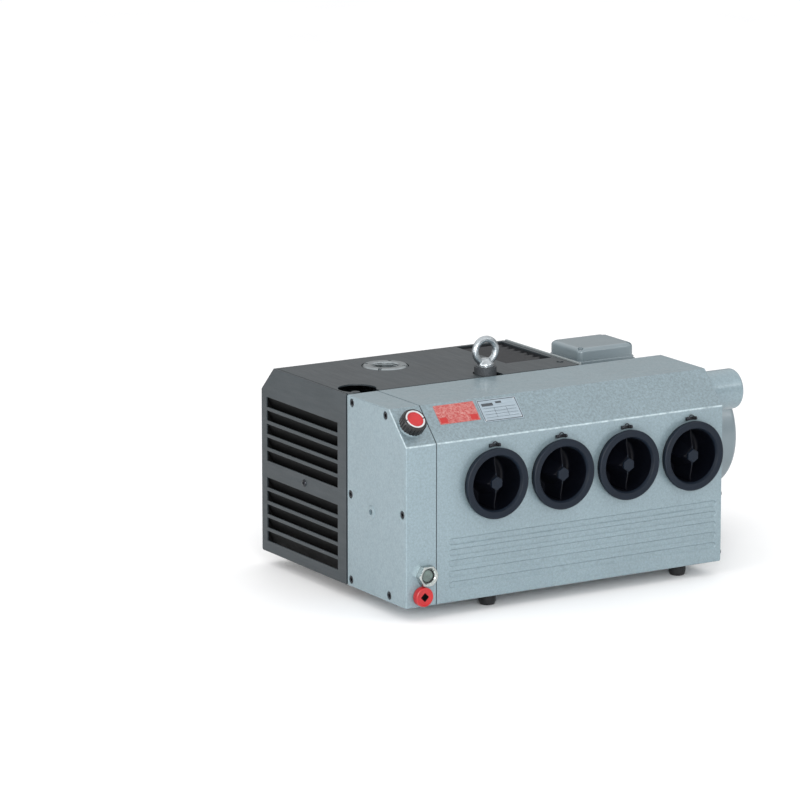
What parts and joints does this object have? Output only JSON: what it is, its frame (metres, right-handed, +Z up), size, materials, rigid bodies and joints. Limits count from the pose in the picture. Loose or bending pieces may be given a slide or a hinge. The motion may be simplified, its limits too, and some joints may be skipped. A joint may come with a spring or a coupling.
{
  "type": "rotary vane vacuum pump",
  "caption": "Oil-lubricated rotary vane vacuum pump: separator casing with filter covers, louvred sound hood, electric motor, eye bolt and rubber feet.",
  "frame": {"origin": "on the floor under the rubber feet, midway along and across the overall size", "axes": "+Z up; +X from the pump's fan end to the motor's fan end, along the shaft; the filter covers face -Y"},
  "size_m": [0.706, 0.423, 0.3565],
  "materials": {
    "casing_paint": "silver-grey hammered enamel, slightly glossy",
    "motor_paint": "smooth grey enamel",
    "hood_paint": "charcoal satin powder coat",
    "panel_zinc": "light grey coated sheet",
    "grille_black": "black coated slats",
    "cover_plastic": "blue-black moulded plastic, satin",
    "black_plastic": "black moulded plastic",
    "red_plastic": "red moulded plastic",
    "rubber_black": "black rubber",
    "fibre_seal": "red-brown fibre seal",
    "nickel": "nickel-plated brass, bright",
    "glass_lens": "grey-green sight glass",
    "zinc_steel": "zinc-plated steel",
    "dark_steel": "black-oxide steel",
    "turned_steel": "turned and ground steel",
    "cast_iron": "grey cast iron",
    "aluminium": "machined aluminium",
    "bronze": "bearing bronze and steel",
    "carbon_vane": "fibre-reinforced resin vane",
    "filter_paper": "pleated glass-fibre paper",
    "winding": "laminated core with lacquered winding",
    "label_red": "printed red foil label, plain pattern",
    "plate_alu": "blank anodised rating plate",
    "float_material": "oil-proof float plastic"
  },
  "bodies": {
    "pump_unit": {"separator_housing": "casing_paint", "end_housing": "casing_paint", "end_gasket": "rubber_black", "housing_screws": "dark_steel", "exhaust_plate": "casing_paint", "exhaust_tube": "casing_paint", "filter_elements": "filter_paper", "cover_seals": "rubber_black", "clip_brackets": "zinc_steel", "sight_glass": "nickel", "sight_lens": "glass_lens", "oil_label": "label_red", "rating_plate": "plate_alu", "pump_cylinder": "cast_iron", "pump_end_plates": "cast_iron", "shaft_bearings": "bronze", "shaft_seals": "rubber_black", "coupling_housing": "motor_paint", "inlet_flange": "aluminium", "inlet_screen": "turned_steel", "check_valve_spring": "zinc_steel", "exhaust_valve": "dark_steel", "motor_frame": "motor_paint", "motor_stator": "winding", "fan_cover": "motor_paint", "terminal_box": "motor_paint", "terminal_lid": "motor_paint", "cable_gland": "black_plastic", "hood_left_panel": "hood_paint", "hood_top_panel": "hood_paint", "hood_end_panel": "panel_zinc", "top_grille": "grille_black", "eye_bolt": "zinc_steel", "rubber_feet": "rubber_black", "rear_rail": "dark_steel"},
    "motor_shaft": {"motor_rotor": "turned_steel", "motor_fan": "black_plastic", "coupling_motor_half": "cast_iron", "coupling_spider": "rubber_black"},
    "pump_shaft": {"pump_rotor": "turned_steel", "cooling_fan": "black_plastic", "coupling_pump_half": "cast_iron"},
    "vane_1": {"vane_1": "carbon_vane"},
    "vane_2": {"vane_2": "carbon_vane"},
    "vane_3": {"vane_3": "carbon_vane"},
    "cover_1": {"filter_cover_1": "cover_plastic"},
    "cover_2": {"filter_cover_2": "cover_plastic"},
    "cover_3": {"filter_cover_3": "cover_plastic"},
    "cover_4": {"filter_cover_4": "cover_plastic"},
    "clip_1": {"cover_clip_1": "zinc_steel"},
    "clip_2": {"cover_clip_2": "zinc_steel"},
    "clip_3": {"cover_clip_3": "zinc_steel"},
    "clip_4": {"cover_clip_4": "zinc_steel"},
    "filler_ring": {"filler_seal": "rubber_black"},
    "filler": {"filler_cap": "black_plastic", "filler_cap_disc": "red_plastic"},
    "drain_ring": {"drain_seal": "fibre_seal"},
    "drain": {"drain_plug": "red_plastic"},
    "inlet_valve": {"check_valve_disc": "turned_steel"},
    "float": {"oil_float": "float_material"}
  },
  "joints": [
    {"name": "motor_spin", "type": "hinge", "parent": "pump_unit", "child": "motor_shaft", "pos_m": [0.149, 0.0805, 0.15], "axis": [1, 0, 0], "continuous": true},
    {"name": "rotor_spin", "type": "hinge", "parent": "pump_unit", "child": "pump_shaft", "pos_m": [-0.176, 0.0805, 0.15], "axis": [1, 0, 0], "continuous": true},
    {"name": "vane_1_slide", "type": "slide", "parent": "pump_shaft", "child": "vane_1", "axis": [0, -0.866, 0.5], "range_m": [0, 0.0038]},
    {"name": "vane_2_slide", "type": "slide", "parent": "pump_shaft", "child": "vane_2", "axis": [0, 0, 1], "range_m": [-0.0086, 0]},
    {"name": "vane_3_slide", "type": "slide", "parent": "pump_shaft", "child": "vane_3", "axis": [0, 0.866, 0.5], "range_m": [0, 0.0038]},
    {"name": "cover_1_turn", "type": "hinge", "parent": "pump_unit", "child": "cover_1", "pos_m": [-0.205, -0.1995, 0.187], "axis": [0, -1, 0], "range_deg": [0, 90]},
    {"name": "cover_2_turn", "type": "hinge", "parent": "pump_unit", "child": "cover_2", "pos_m": [-0.0925, -0.1995, 0.187], "axis": [0, -1, 0], "range_deg": [0, 90]},
    {"name": "cover_3_turn", "type": "hinge", "parent": "pump_unit", "child": "cover_3", "pos_m": [0.02, -0.1995, 0.187], "axis": [0, -1, 0], "range_deg": [0, 90]},
    {"name": "cover_4_turn", "type": "hinge", "parent": "pump_unit", "child": "cover_4", "pos_m": [0.1325, -0.1995, 0.187], "axis": [0, -1, 0], "range_deg": [0, 90]},
    {"name": "clip_1_swing", "type": "hinge", "parent": "pump_unit", "child": "clip_1", "pos_m": [-0.205, -0.2021, 0.2414], "axis": [1, 0, 0], "range_deg": [0, 80]},
    {"name": "clip_2_swing", "type": "hinge", "parent": "pump_unit", "child": "clip_2", "pos_m": [-0.0925, -0.2021, 0.2414], "axis": [1, 0, 0], "range_deg": [0, 80]},
    {"name": "clip_3_swing", "type": "hinge", "parent": "pump_unit", "child": "clip_3", "pos_m": [0.02, -0.2021, 0.2414], "axis": [1, 0, 0], "range_deg": [0, 80]},
    {"name": "clip_4_swing", "type": "hinge", "parent": "pump_unit", "child": "clip_4", "pos_m": [0.1325, -0.2021, 0.2414], "axis": [1, 0, 0], "range_deg": [0, 80]},
    {"name": "filler_rise", "type": "slide", "parent": "pump_unit", "child": "filler_ring", "axis": [0, -0.7071, 0.7071], "range_m": [0, 0.004]},
    {"name": "filler_turn", "type": "hinge", "parent": "filler_ring", "child": "filler", "pos_m": [-0.33, -0.176, 0.2775], "axis": [0, -0.7071, 0.7071], "range_deg": [0, 720]},
    {"name": "drain_rise", "type": "slide", "parent": "pump_unit", "child": "drain_ring", "axis": [0, -1, 0], "range_m": [0, 0.0036]},
    {"name": "drain_turn", "type": "hinge", "parent": "drain_ring", "child": "drain", "pos_m": [-0.326, -0.1995, 0.0365], "axis": [0, -1, 0], "range_deg": [0, 720]},
    {"name": "inlet_valve_open", "type": "slide", "parent": "pump_unit", "child": "inlet_valve", "axis": [0, 0, -1], "range_m": [0, 0.01], "stiffness_N_per_m": 150, "springref_m": -0.01, "deforming": ["check_valve_spring"]},
    {"name": "float_swing", "type": "hinge", "parent": "pump_unit", "child": "float", "pos_m": [-0.241, -0.1195, 0.06], "axis": [0, -1, 0], "range_deg": [0, 28]}
  ],
  "couplings": [
    {"joint": "rotor_spin", "follows": "motor_spin", "ratio": 1},
    {"joint": "filler_rise", "follows": "filler_turn", "m_per_rad": 0.00031831},
    {"joint": "drain_rise", "follows": "drain_turn", "m_per_rad": 0.00028648}
  ]
}
